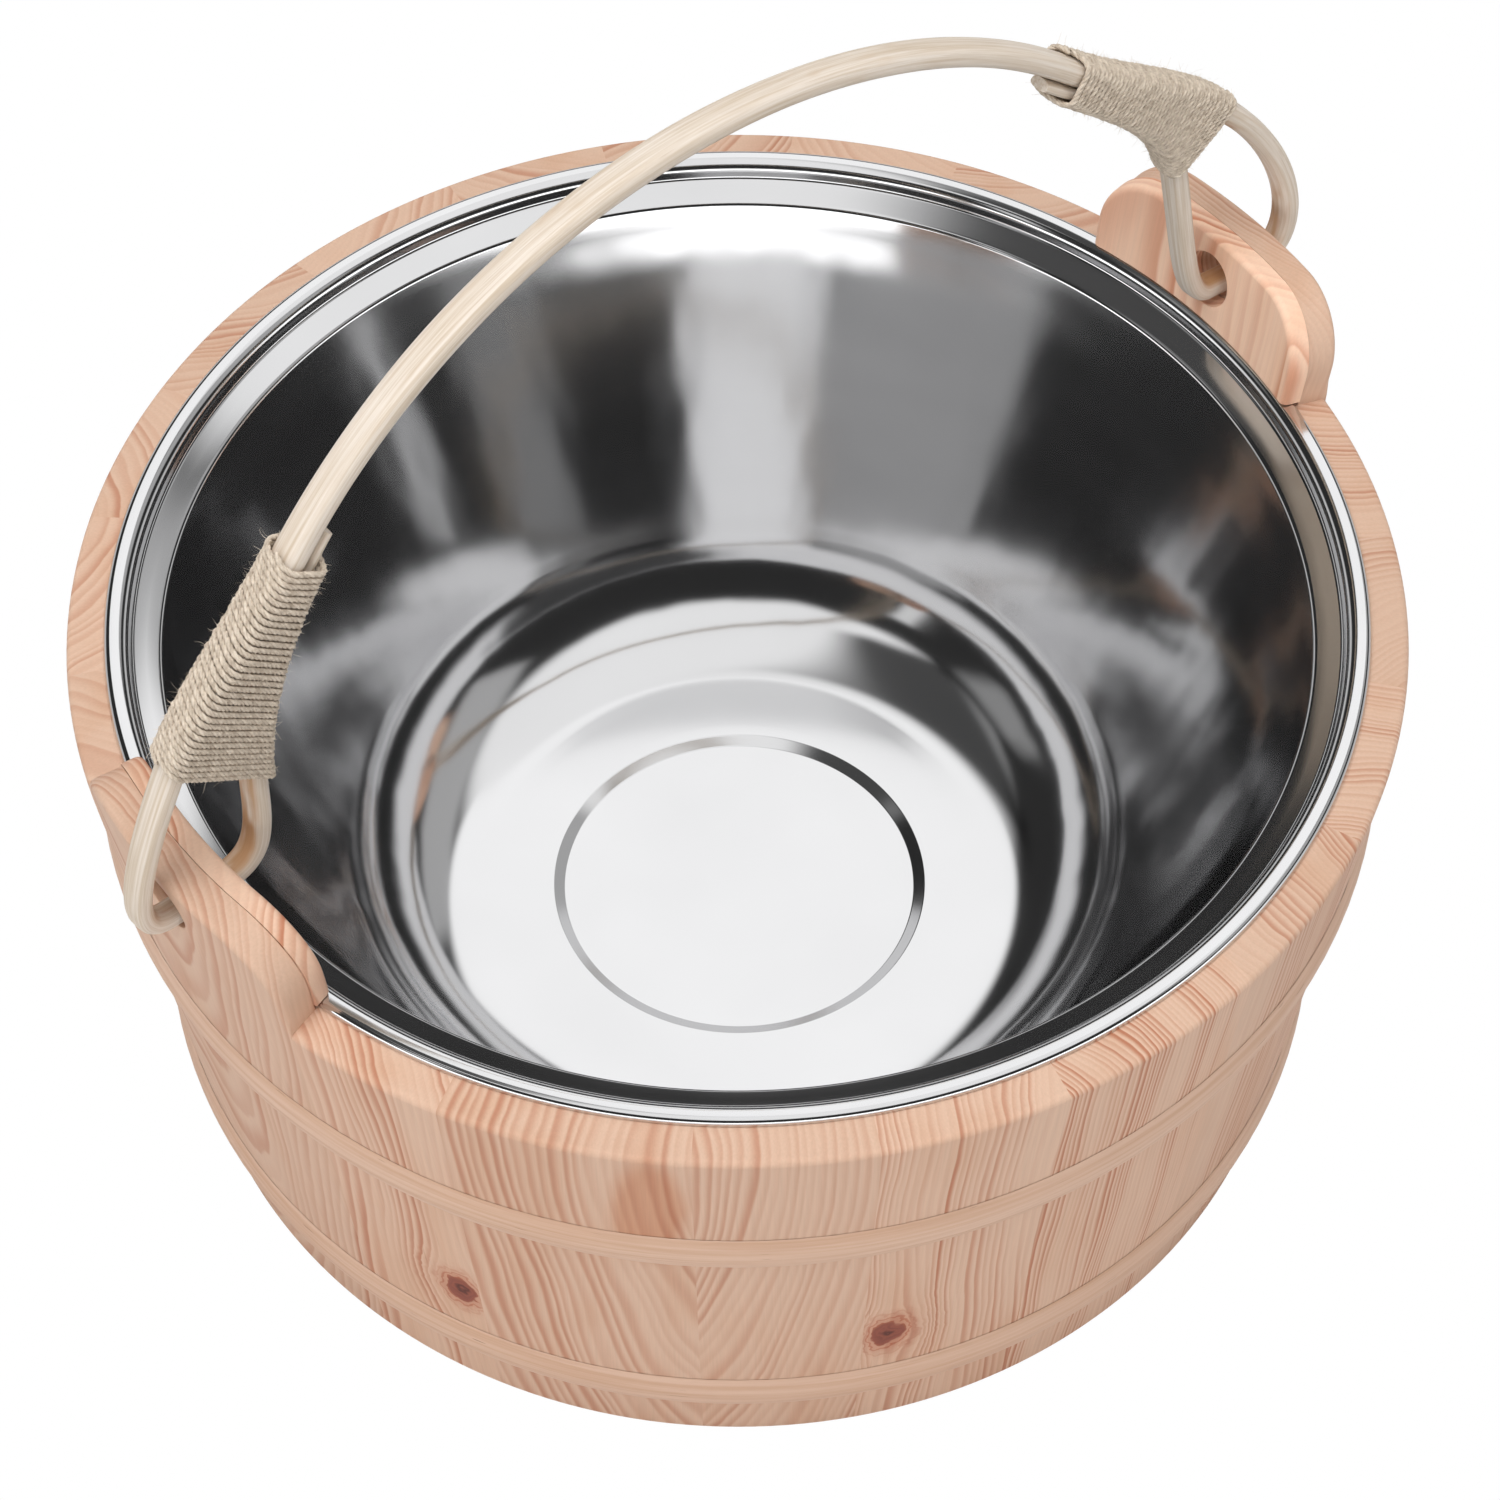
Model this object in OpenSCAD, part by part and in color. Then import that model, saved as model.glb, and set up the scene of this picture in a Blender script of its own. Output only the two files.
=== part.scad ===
// Wooden sauna bucket: coopered pine staves held by two wooden hoops, a pressed steel
// liner that hangs by its lip, and a rattan bail that loops through two ears.
// Millimetres. The origin is the middle of the base, +Z is up, the ears stand at -X and +X.

/* [Wall] */
// Height of the wall, from the base to the outer top edge
wall_h = 126; // [110:1:180]
// Outside diameter at the outer top edge
rim_d = 280; // [260:1:320]
// Outside diameter at the base
base_d = 249; // [236:1:258]
// Thickness of a stave, square to its face
stave_t = 12; // [10.5:0.5:15]
// Rounding of the outer top edge
rim_round = 1.5; // [0.5:0.1:2.5]
// Widths of the front staves in degrees, from the left ear to the right ear
front_widths = [13.8, 20.8, 15, 15.9, 18.9, 17, 17, 17, 17];
// Widths of the back staves in degrees, from the right ear to the left ear
back_widths = [17, 16, 18, 15, 17, 19, 16, 18, 16];

/* [Ears] */
// Angle from the middle of an ear to its end
ear_half = 13.8; // [12:0.2:16]
// Length of an ear above the rim, along the wall
ear_h = 24.4; // [23:0.2:32]
// Radius of an ear's upper corners
ear_corner_r = 16; // [8:0.5:20]
// Rounding of the long edges at the top of an ear
ear_round = 1.6; // [0.5:0.1:2]
// Thickness of the cheek that is glued inside each ear
cheek_t = 4.5; // [3.6:0.1:5.5]
// How far a cheek reaches past each end of its ear
cheek_past = 0.7; // [0:0.1:2]
// Gap between a cheek and the liner's lip below it
cheek_clear = 0.5; // [0.3:0.1:1]
// Thickness of the glue line behind a cheek
glue_gap = 0.1; // [0.05:0.05:0.2]
// Diameter of the hole through an ear
hole_d = 13.4; // [12.6:0.2:15]
// Height of the hole's centre above the outer top edge of the wall
hole_h = 13.7; // [12:0.1:15]

/* [Hoops] */
// Height of a hoop, along the wall
hoop_h = 12; // [8:0.5:16]
// How far the middle of a hoop stands out of the wall
hoop_proud = 1.8; // [1:0.1:3]
// Height of the middle of the upper hoop
upper_hoop_z = 87; // [70:1:100]
// Height of the middle of the lower hoop
lower_hoop_z = 19; // [12:1:40]
// Gap between a hoop and the wall
hoop_fit = 0.1; // [0.05:0.05:0.2]

/* [Bottom] */
// Thickness of the bottom board
board_t = 12; // [9:0.5:14]
// Height of the board's underside above the base
board_z = 8; // [4:0.5:10]
// Width of the groove in the staves that holds the board's edge
croze_w = 5; // [3:0.5:7]
// Depth of that groove
croze_d = 4; // [2:0.5:5]
// Gap round the edge of the board
board_fit = 0.2; // [0.1:0.05:0.4]

/* [Liner] */
// Thickness of the steel sheet
sheet_t = 0.8; // [0.5:0.1:1.2]
// Width of the rolled lip
lip_w = 4.7; // [4:0.1:5]
// Height of the lip's crest above the outer top edge of the wall
lip_h = 2.7; // [2.4:0.1:3.4]
// Depth of the step inside the lip, below its crest
step_h = 3.9; // [3:0.1:6]
// How far the step leans inwards
step_lean = 0.9; // [0.5:0.1:2]
// Width of the shoulder inside the step
shoulder_w = 5.9; // [4:0.1:9]
// Fall of the shoulder
shoulder_fall = 2; // [1:0.1:4]
// Slope of the bowl's side, from upright
bowl_slope = 24; // [16:0.5:28]
// Radius between the bowl's side and its floor
bowl_r = 33; // [20:1:40]
// Height of the bowl's floor above the base
floor_z = 28.3; // [25:0.1:40]
// Diameter of the sunk disc in the floor
disc_d = 78.8; // [50:0.2:100]
// Depth of the sunk disc
disc_step = 1; // [0.5:0.1:2]
// Width of the slope round the sunk disc
disc_ramp = 2.5; // [1.5:0.1:5]
// Gap between the lip and the wood
lip_fit = 0.1; // [0.05:0.05:0.3]

/* [Bail] */
// Height of the bail's arch above the ear holes
arch_rise = 115; // [105:1:135]
// Radius of the arch
arch_r = 133; // [128:1:140]
// Lean of the standing bail towards +Y
bail_lean = 5; // [0:1:10]
// Width of the rattan strip at the top of the arch
cane_w = 7.2; // [6:0.1:8]
// Thickness of the strip there
cane_t = 5.6; // [4.6:0.1:6]
// Width of the strip in an ear hole
cane_hole_w = 6; // [5:0.1:6.4]
// Thickness of the strip in an ear hole
cane_hole_t = 4.8; // [4:0.1:5.4]
// Least gap between two turns of the strip that lie side by side
cane_gap = 0.4; // [0.2:0.1:1]
// Gap between a binding and the strip
binding_fit = 0.3; // [0.2:0.05:0.5]
// Diameter of the binding twine
twine_d = 1.3; // [1:0.1:1.8]
// How far the strip's end shows past its binding
tip_past = 5; // [3:0.5:6]
// Thickness that the strip's end is pared down to
tip_t = 2.4; // [2:0.1:3]
// Slant of the twine's turns: the front of each lies nearer the ear
turn_slant = 24; // [0:1:30]
// How far the left loop stands off the bail's plane, towards the front
left_sway = 6.5; // [0:0.5:7]

/* [Hidden] */
$fn = 96;
FRONT = [for (i = [1 : len(front_widths)]) str("front_stave_", i)];
BACK = [for (i = [1 : len(back_widths)]) str("back_stave_", i)];
SIDES = ["left", "right"];

pine = "burlywood";
pale_pine = "wheat";
steel = "silver";
rattan = "blanchedalmond";
jute = "tan";

base_r = base_d / 2;
rim_r = rim_d / 2;
taper = atan2(rim_r - base_r, wall_h);
slant_h = wall_h / cos(taper);
plate_t = stave_t - cheek_t;
hinge_z = wall_h + hole_h;
crest_z = wall_h + lip_h;
round_step = 15;

// Radius of the wall's outer face at height z
function outer_r(z) = base_r + z * tan(taper);
// Radius of the wall's inner face at height z
function inner_r(z) = outer_r(z) - stave_t / cos(taper);
// Height of the wall's top face at radius r
function top_z(r) = wall_h + (rim_r - r) * tan(taper);
// Point [r, z] a length s up the wall's outer face and a depth d into the wood
function on_wall(s, d) = [base_r + s * sin(taper) - d * cos(taper), s * cos(taper) + d * sin(taper)];
// How far up the wall the flat base lies at depth d
function base_s(d) = -d * tan(taper);

function unit(v) = v / norm(v);
function turned(v, a) = [v.x * cos(a) - v.y * sin(a), v.x * sin(a) + v.y * cos(a)];
function flat(p) = [p.x, p.y];
function reversed(list) = [for (i = [len(list) - 1 : -1 : 0]) list[i]];
function total(list, n) = n == 0 ? 0 : list[n - 1] + total(list, n - 1);

// Arc of radius r that rounds the corner b between a and c
function corner_arc(a, b, c, r) =
    let (u = unit(a - b), v = unit(c - b), half = acos(u * v) / 2,
         centre = b + unit(u + v) * r / sin(half), from = b + u * r / tan(half) - centre,
         turn = (180 - 2 * half) * sign(cross(from, b + v * r / tan(half) - centre)),
         n = ceil(abs(turn) / round_step))
    [for (k = [0 : n]) centre + turned(from, turn * k / n)];

// Path through corners [x, y, radius], with each corner rounded by its radius
function rounded(p) = [for (i = [0 : len(p) - 1])
    each p[i].z == 0 ? [flat(p[i])] : corner_arc(flat(p[i - 1]), flat(p[i]), flat(p[i + 1]), p[i].z)];

// The path moved sideways by d, to the left of its direction
function beside(path, d) = [for (i = [0 : len(path) - 1])
    let (last = len(path) - 1, into = i > 0 ? unit(path[i] - path[i - 1]) : unit(path[1] - path[0]),
         out = i < last ? unit(path[i + 1] - path[i]) : into, mean = unit(into + out))
    path[i] + d * [-mean.y, mean.x] / (mean * out)];

// Wall and hoops

function with_radius(p, r) = [p.x, p.y, r];

// Inner face of the wall with the groove for the bottom board, from the top down
function grooved_face() =
    let (low = board_z + (board_t - croze_w) / 2, high = low + croze_w, deep = inner_r(low) + croze_d)
    [with_radius([inner_r(high), high], 0), [deep, high, 0], [deep, low, 0],
     with_radius([inner_r(low), low], 0), with_radius(on_wall(base_s(stave_t), stave_t), 0)];

function stave_section() = rounded(concat(
    [with_radius(on_wall(0, 0), 0), with_radius(on_wall(slant_h, 0), rim_round),
     with_radius(on_wall(slant_h, stave_t), 0)], grooved_face()));

function ear_section() = rounded(concat(
    [with_radius(on_wall(0, 0), 0), with_radius(on_wall(slant_h + ear_h, 0), ear_round),
     with_radius(on_wall(slant_h + ear_h, plate_t - glue_gap), 0),
     with_radius(on_wall(slant_h, plate_t - glue_gap), 0),
     with_radius(on_wall(slant_h, stave_t), 0)], grooved_face()));

// The cheek's foot is level, just above the lip
function cheek_section() =
    let (foot_s = (crest_z + cheek_clear) / cos(taper))
    rounded([with_radius(on_wall(foot_s - plate_t * tan(taper), plate_t), 0),
             with_radius(on_wall(slant_h + ear_h, plate_t), 0),
             with_radius(on_wall(slant_h + ear_h, stave_t), ear_round),
             with_radius(on_wall(foot_s - stave_t * tan(taper), stave_t), 0)]);

module stave(from, width, shade) {
    color(shade) rotate([0, 0, from]) rotate_extrude(angle = width) polygon(stave_section());
}

// A side's staves fill the arc between the ears, in proportion to their listed widths
function stave_angle(widths, i) = total(widths, i) * (180 - 2 * ear_half) / total(widths, len(widths));

module side_stave(widths, start, i) {
    from = stave_angle(widths, i);
    stave(start + from, stave_angle(widths, i + 1) - from, i % 2 == 0 ? pine : pale_pine);
}

// What is cut from the upper corner of a plate that ends at the plane Y = 0. The curve meets
// the plate's edges at a small angle, which leaves a clean line there.
module corner_waste() {
    depth = 3 * stave_t;
    swell = ear_corner_r / 800;
    top = on_wall(slant_h + ear_h, 0);
    translate([top.x, 0, top.y]) rotate([0, taper, 0])
        difference() {
            translate([-depth / 2, -ear_corner_r, -ear_corner_r])
                cube([depth, 2 * ear_corner_r, 2 * ear_corner_r]);
            translate([-depth, -ear_corner_r, -ear_corner_r]) rotate([0, 90, 0])
                cylinder(r = ear_corner_r + swell, h = 2 * depth);
        }
}

// A plate swept from a section, with its two upper corners rounded and the bail's hole
module ear_plate(section, half) {
    difference() {
        rotate([0, 0, -half]) rotate_extrude(angle = 2 * half) polygon(section);
        for (end = [0, 1]) mirror([0, end, 0]) rotate([0, 0, half]) corner_waste();
        translate([base_r - 2 * stave_t, 0, hinge_z]) rotate([0, 90, 0])
            cylinder(d = hole_d, h = rim_r);
    }
}

module ear(side) {
    color(pine) rotate([0, 0, side == "left" ? 180 : 0]) ear_plate(ear_section(), ear_half);
}

module ear_cheek(side) {
    past = cheek_past / outer_r(hinge_z) * 180 / PI;
    color(pale_pine) rotate([0, 0, side == "left" ? 180 : 0])
        ear_plate(cheek_section(), ear_half + past);
}

// A band with a flat back against the wall and a round front
function hoop_section(z) =
    let (s = z / cos(taper), half = hoop_h / 2, r = (half * half + hoop_proud * hoop_proud) / (2 * hoop_proud),
         span = asin(half / r), n = 8)
    [for (k = [-n : n]) let (a = span * k / n)
        on_wall(s + r * sin(a), -hoop_fit - hoop_proud + r * (1 - cos(a)))];

module hoop(z) {
    color(pale_pine) rotate_extrude() polygon(hoop_section(z));
}

module bottom_board() {
    tongue_z = board_z + (board_t - croze_w) / 2;
    color(pale_pine) {
        translate([0, 0, board_z]) cylinder(r = inner_r(board_z) - board_fit, h = board_t);
        translate([0, 0, tongue_z]) cylinder(r = inner_r(tongue_z) + croze_d - board_fit, h = croze_w);
    }
}

// The liner's upper face, from the lip's outer edge to the middle of the floor
function liner_face() =
    let (lip_in = inner_r(top_z(inner_r(wall_h))) - lip_fit - sheet_t, lip_out = lip_in + lip_w,
         seat = top_z(lip_out - sheet_t) + lip_fit, roll = (crest_z - seat) * 0.95,
         step = [lip_in - step_lean, crest_z - step_h],
         edge = step - [shoulder_w, shoulder_fall],
         foot_r = edge.x - (edge.y - floor_z) * tan(bowl_slope), disc_r = disc_d / 2)
    rounded([[lip_out, seat, 0], [lip_out, crest_z, roll], [lip_in, crest_z, (lip_w - roll) * 0.9],
             with_radius(step, 1.2), with_radius(edge, 1.8), [foot_r, floor_z, bowl_r],
             [disc_r + disc_ramp, floor_z, 1.2], [disc_r, floor_z - disc_step, 1.2],
             [0, floor_z - disc_step, 0]]);

module liner() {
    face = liner_face();
    color(steel) rotate_extrude() polygon(concat(face, reversed(beside(face, sheet_t))));
}

// Bail: the strip's route lies in one plane, as points [x, height above the ear holes]

// Where the strip passes the ears, measured from the middle of the bucket
ear_in = inner_r(hinge_z);
ear_out = outer_r(hinge_z);

// The arch is part of a circle; a point beside it lies a distance d nearer its centre
function arch_point(x) = [x, arch_rise - arch_r + sqrt(arch_r * arch_r - x * x)];
function arch_heading(x) = -asin(x / arch_r);
function beside_arch(x, d) = arch_point(x) - d * unit(arch_point(x) - [0, arch_rise - arch_r]);

// Each side's marks along the strip, from the arch to the strip's end, as [x, height,
// heading, reach of the curve before it, reach of the curve after it, width, thickness, sway].
// The pared end lies against the inner side of the arch; the strip hangs low in the ear's hole.
hole_drop = (hole_d - cane_hole_t) / 2 - 1.5;
hole_sway = 0.2 * left_sway;
function tip_mark(x, reach) = concat(beside_arch(x, (cane_t + tip_t) / 2 + cane_gap),
    [arch_heading(x) - 180, reach, 0, 5, tip_t, 0]);
function hole_marks(turn, before, after, sway) =
    [[ear_out + 0.5, -hole_drop, -180, before, 4, cane_hole_w, cane_hole_t, sway],
     [ear_in - 0.3, -0.6 * hole_drop, -180 - turn, 4, after, cane_hole_w, cane_hole_t, sway]];
function marks(side) = side == "right" ?
    concat([concat(arch_point(88.5), [arch_heading(88.5), 0, 23, 6.6, 5.4, 0]),
            [ear_out - 11.5, 48.6, -43, 21, 30.2, 6.3, 5.3, 0]],
        hole_marks(4, 18, 7, 0),
        [[ear_in - 10.7, 40, -262, 27.5, 14, 6.2, 5, 0], tip_mark(85.5, 18)])
    : concat([concat(arch_point(101), [arch_heading(101), 0, 15, 7.4, 5.6, 0]),
            [ear_out - 5.4, 41.5, -59, 13, 21.5, 6.5, 5.2, left_sway]],
        hole_marks(2, 11, 11, hole_sway),
        [[ear_in - 11.6, 22.5, -266, 14.5, 18, 6.2, 5, hole_sway], tip_mark(96.3, 18)]);

// The four points of the curve between mark i and the next
function curve_points(m, i) =
    let (a = m[i], b = m[i + 1])
    [flat(a), flat(a) + a[4] * [cos(a.z), sin(a.z)], flat(b) - b[3] * [cos(b.z), sin(b.z)], flat(b)];
function curve_at(p, t) =
    let (s = 1 - t) s * s * s * p[0] + 3 * s * s * t * p[1] + 3 * s * t * t * p[2] + t * t * t * p[3];
function curve_heading(p, t) =
    let (s = 1 - t) unit(s * s * (p[1] - p[0]) + 2 * s * t * (p[2] - p[1]) + t * t * (p[3] - p[2]));
function mixed(a, b, t) = a + (b - a) * t;

function eased(t) = t * t * (3 - 2 * t);

// A station of the strip: [point, heading, width, thickness, sway]
function curve_station(m, i, t) =
    let (p = curve_points(m, i), a = m[i], b = m[i + 1])
    [curve_at(p, t), curve_heading(p, t), mixed(a[5], b[5], t), mixed(a[6], b[6], t), mixed(a[7], b[7], eased(t))];
curve_steps = [10, 14, 3, 12, 10];
function side_stations(side) =
    let (m = marks(side))
    [for (i = [0 : len(m) - 2]) each [for (k = [1 : curve_steps[i]]) curve_station(m, i, k / curve_steps[i])]];
function mirrored(s) = [[-s[0].x, s[0].y], [s[1].x, -s[1].y], s[2], s[3], s[4]];

function arch_stations() =
    let (left = marks("left")[0], right = marks("right")[0], n = 44)
    [for (k = [0 : n]) let (x = mixed(-left.x, right.x, k / n), near = x < 0 ? left : right,
        far = abs(x) / near.x, a = arch_heading(x))
        [arch_point(x), [cos(a), sin(a)], mixed(cane_w, near[5], far), mixed(cane_t, near[6], far), 0]];

function cane_stations() = concat([for (s = reversed(side_stations("left"))) mirrored(s)],
    arch_stations(), side_stations("right"));

// Point of a rounded oblong at angle a, for half sizes 1 and 1; n sets how square it is
function oblong(a, n) = [sign(cos(a)) * pow(abs(cos(a)), 2 / n), sign(sin(a)) * pow(abs(sin(a)), 2 / n)];

// Triangles of the skin between rings first and last
function skin(first, last, sides, flip = false) = [for (i = [first : last - 1], j = [0 : sides - 1])
    let (k = (j + 1) % sides, a = i * sides, b = a + sides)
    each flip ? [[a + j, b + k, a + k], [a + j, b + j, b + k]] : [[a + j, a + k, b + k], [a + j, b + k, b + j]]];

module at_hinge() {
    translate([0, 0, hinge_z]) rotate([-bail_lean, 0, 0]) children();
}

module handle() {
    sides = 10;
    s = cane_stations();
    last = len(s) - 1;
    points = [for (q = s, j = [0 : sides - 1])
        let (o = oblong(360 * j / sides, 3), p = q[0] + turned(q[1], 90) * q[3] / 2 * o.x)
        [p.x, q[2] / 2 * o.y - q[4], p.y]];
    ends = [[for (j = [sides - 1 : -1 : 0]) j], [for (j = [0 : sides - 1]) last * sides + j]];
    color(rattan) at_hinge() polyhedron(points, concat(ends, skin(0, last, sides)));
}

// Outline of a binding at t, from 0 at its upper end to 1 at its lower end: the strip
// from the arch lies on its outer side and the strip's end lies on its inner side.
// [centre, direction to the outer side, half length, half width, sway in the middle, its rise,
// half thickness of the strip on the outer side, the same on the inner side]
function binding_span(side, t) =
    let (m = marks(side), back = curve_points(m, 4), tip = 1 - tip_past / norm(back[3] - back[0]),
         outer = curve_station(m, 0, t), inner = curve_station(m, 4, tip * (1 - t)),
         a = outer[0] + turned(outer[1], 90) * outer[3] / 2,
         b = inner[0] + turned(inner[1], 90) * inner[3] / 2,
         flip = side == "left" ? -1 : 1, c = (a + b) / 2, d = unit(a - b))
    [[flip * c.x, c.y], [flip * d.x, d.y], norm(a - b) / 2, max(outer[2], inner[2]) / 2,
     (outer[4] + inner[4]) / 2, (outer[4] - inner[4]) / 2, outer[3] / 2, inner[3] / 2];

// A turn of the winding, a distance out from the strips; its front lies nearer the ear by lag
function binding_ring(side, t, out, lag, sides) = [for (j = [0 : sides - 1])
    let (o = oblong(360 * j / sides, 3), q = binding_span(side, t - lag * o.y), end = sign(o.x),
         round = out + (end > 0 ? q[6] : q[7]), p = q[0] + q[1] * (end * (q[2] + out - round) + o.x * round))
    [p.x, (q[3] + out) * o.y - q[4] - q[5] * end, p.y]];

module binding(side) {
    sides = 20;
    bands = 16;
    start = marks(side)[0];
    length = norm(flat(marks(side)[1]) - flat(start));
    lag = start[5] / 2 * tan(turn_slant) / length;
    turns = round(length / twine_d);
    first = 2 * turns + 1;
    // The twine's crest lies a whole diameter out, and the valley between turns half of one
    outside = [for (k = [0 : 2 * turns])
        each binding_ring(side, k / (2 * turns), binding_fit + twine_d * (k % 2 == 1 ? 1 : 0.5), lag, sides)];
    inside = [for (k = [0 : bands]) each binding_ring(side, k / bands, binding_fit, lag, sides)];
    wall = [for (j = [0 : sides - 1], end = [0, 1])
        let (k = (j + 1) % sides, a = end == 0 ? 0 : (first - 1) * sides,
             b = (end == 0 ? first : first + bands) * sides)
        each end == 0 ? [[a + j, b + k, a + k], [a + j, b + j, b + k]]
            : [[a + j, a + k, b + k], [a + j, b + k, b + j]]];
    color(jute) at_hinge() polyhedron(concat(outside, inside), concat(
        skin(0, first - 1, sides, side == "left"), skin(first, first + bands, sides, side != "left"),
        side == "left" ? [for (f = wall) reversed(f)] : wall));
}

for (i = [0 : len(front_widths) - 1])
    side_stave(front_widths, ear_half - 180, i);
for (i = [0 : len(back_widths) - 1])
    side_stave(back_widths, ear_half, i);
for (s = SIDES) {
    ear(s);
    ear_cheek(s);
    binding(s);
}
bottom_board();
liner();
hoop(upper_hoop_z);  // upper_hoop
hoop(lower_hoop_z);  // lower_hoop
handle();
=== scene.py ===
# %% [markdown]
# # A wooden sauna bucket under studio light
#
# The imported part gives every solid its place. This scene gives each one its look: pine with
# growth rings and knots, polished steel, split rattan and twisted twine. Staves, hoops and
# the bottom board keep their solids and only get a material. The ears, the liner and the
# bail need softer edges or finer detail than a solid has, so finer meshes stand in for them.
# Sizes are in millimetres and become metres where a mesh is made. The ears stand at -X and +X.

# %% Load the part
import math

import bmesh
import bpy
import numpy as np
from mathutils import Matrix, Vector


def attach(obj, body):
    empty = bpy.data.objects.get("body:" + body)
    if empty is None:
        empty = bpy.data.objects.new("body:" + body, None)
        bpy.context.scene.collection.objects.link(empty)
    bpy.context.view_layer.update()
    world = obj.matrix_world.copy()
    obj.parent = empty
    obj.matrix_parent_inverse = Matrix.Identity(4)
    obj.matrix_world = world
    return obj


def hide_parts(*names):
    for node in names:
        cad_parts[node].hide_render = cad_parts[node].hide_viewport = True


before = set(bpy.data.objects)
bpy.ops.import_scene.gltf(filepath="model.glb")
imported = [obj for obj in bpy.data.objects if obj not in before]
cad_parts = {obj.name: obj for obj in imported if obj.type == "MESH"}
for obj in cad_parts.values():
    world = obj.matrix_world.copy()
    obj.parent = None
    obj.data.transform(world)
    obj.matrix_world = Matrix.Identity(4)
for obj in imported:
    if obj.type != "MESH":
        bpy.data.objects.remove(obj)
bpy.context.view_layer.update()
MM = 0.001
rng = np.random.default_rng(7)

# %% [markdown]
# ## Sizes
# The wall of a bucket is a cone that widens upwards, so that its hoops can be driven on. Its
# points could be worked out as x, y and z, but staves and ears are simpler to think of flat.
# Here a point of the wall is a length s up the outer face and a depth d into the wood, and
# one function turns the two into a radius and a height. The sizes repeat those of the part's
# source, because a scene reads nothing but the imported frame. EAR_HALF is half the width of an
# ear in degrees. FRONT and BACK are the widths of the staves, as shares of the space between
# the ears.

# %% Sizes of the part
WALL_H, RIM_R, BASE_R, STAVE_T = 126.0, 140.0, 124.5, 12.0
TAPER = math.atan2(RIM_R - BASE_R, WALL_H)
SLANT_H = WALL_H / math.cos(TAPER)
HINGE_Z = WALL_H + 13.7
CREST_Z = WALL_H + 2.7
EAR_HALF, EAR_H, EAR_CORNER = 13.8, 24.4, 16.0
CHEEK_T, GLUE, CHEEK_PAST, HOLE_R = 4.5, 0.1, 0.7, 6.7
FRONT = [13.8, 20.8, 15, 15.9, 18.9, 17, 17, 17, 17]
BACK = [17, 16, 18, 15, 17, 19, 16, 18, 16]


def on_wall(s, d):
    """Radius and height of a point a length s up the wall and a depth d into the wood."""
    return (BASE_R + s * math.sin(TAPER) - d * math.cos(TAPER),
            s * math.cos(TAPER) + d * math.sin(TAPER))


def edges_of(widths, start):
    """Angles of the joints between staves, in degrees."""
    steps = np.cumsum([0] + list(widths)) * (180 - 2 * EAR_HALF) / sum(widths)
    return start + steps


FRONT_JOINTS = edges_of(FRONT, EAR_HALF - 180)
BACK_JOINTS = edges_of(BACK, EAR_HALF)
print("front joints:", FRONT_JOINTS.round(1))

# %% [markdown]
# ## Meshes
# A piece could be pulled out of a cube or a cylinder with modifiers. These pieces follow
# measured sections instead, so each one is made of rows of points that a formula gives, and
# a helper joins the rows by quads. Another helper names the mesh, gives it a material and
# lets it ride on a body of the part.

# %% Mesh helpers


def dress(name, data, body, look, sharp):
    """An object for the mesh, smooth except where faces meet at a sharp angle."""
    data.shade_smooth()
    data.set_sharp_from_angle(angle=math.radians(sharp))
    data.materials.append(look)
    obj = bpy.data.objects.new(name, data)
    bpy.context.scene.collection.objects.link(obj)
    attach(obj, body)
    return obj


def piece(name, points, faces, body, look, sharp=35):
    """A piece from points in millimetres."""
    data = bpy.data.meshes.new(name)
    data.from_pydata((np.asarray(points, float) * MM).tolist(), [], faces)
    data.update()
    return dress(name, data, body, look, sharp)


def skin(rows, columns, close_columns=True, first=0):
    """Quads over a grid of points that is stored row by row."""
    faces = []
    for i in range(rows - 1):
        for j in range(columns if close_columns else columns - 1):
            a, b, k = first + i * columns, first + (i + 1) * columns, (j + 1) % columns
            faces.append((a + j, a + k, b + k, b + j))
    return faces


# %% Paths in a plane


def unit(v):
    """The vector, or each row of vectors, with length 1."""
    v = np.asarray(v, float)
    return v / np.linalg.norm(v, axis=-1, keepdims=True)


def rounded(corners, step):
    """A path through corners (x, y, radius), each rounded in turns of step degrees at most."""
    out = []
    for i, (x, y, r) in enumerate(corners):
        b = np.array([x, y])
        if r == 0:
            out.append(b)
            continue
        u, v = (unit(np.array(corners[k][:2]) - b) for k in (i - 1, i + 1))
        half = math.acos(float(u @ v)) / 2
        centre = b + unit(u + v) * r / math.sin(half)
        start, end = (b + w * r / math.tan(half) - centre for w in (u, v))
        a0, a1 = (math.atan2(w[1], w[0]) for w in (start, end))
        turn = (a1 - a0 + math.pi) % (2 * math.pi) - math.pi
        n = max(2, math.ceil(abs(math.degrees(turn)) / step))
        angles = [a0 + turn * k / n for k in range(n + 1)]
        out += [centre + r * np.array([math.cos(a), math.sin(a)]) for a in angles]
    return np.array(out)


def beside(path, d):
    """The path moved sideways by d, to the left of its direction."""
    ahead = unit(np.diff(path, axis=0))
    into, leave = np.vstack([ahead[:1], ahead]), np.vstack([ahead, ahead[-1:]])
    mean = unit(into + leave)
    return path + d * np.stack([-mean[:, 1], mean[:, 0]], 1) / (mean * leave).sum(1, keepdims=True)


# %% [markdown]
# ## Shaders
# A shader is a tree of nodes, and a long one is hard to follow as a list of nodes and links.
# One small class wraps a socket and overloads the arithmetic. An expression in this script
# then adds the Math nodes by itself, and reads like the rule that it draws.

# %% Shader arithmetic


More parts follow.
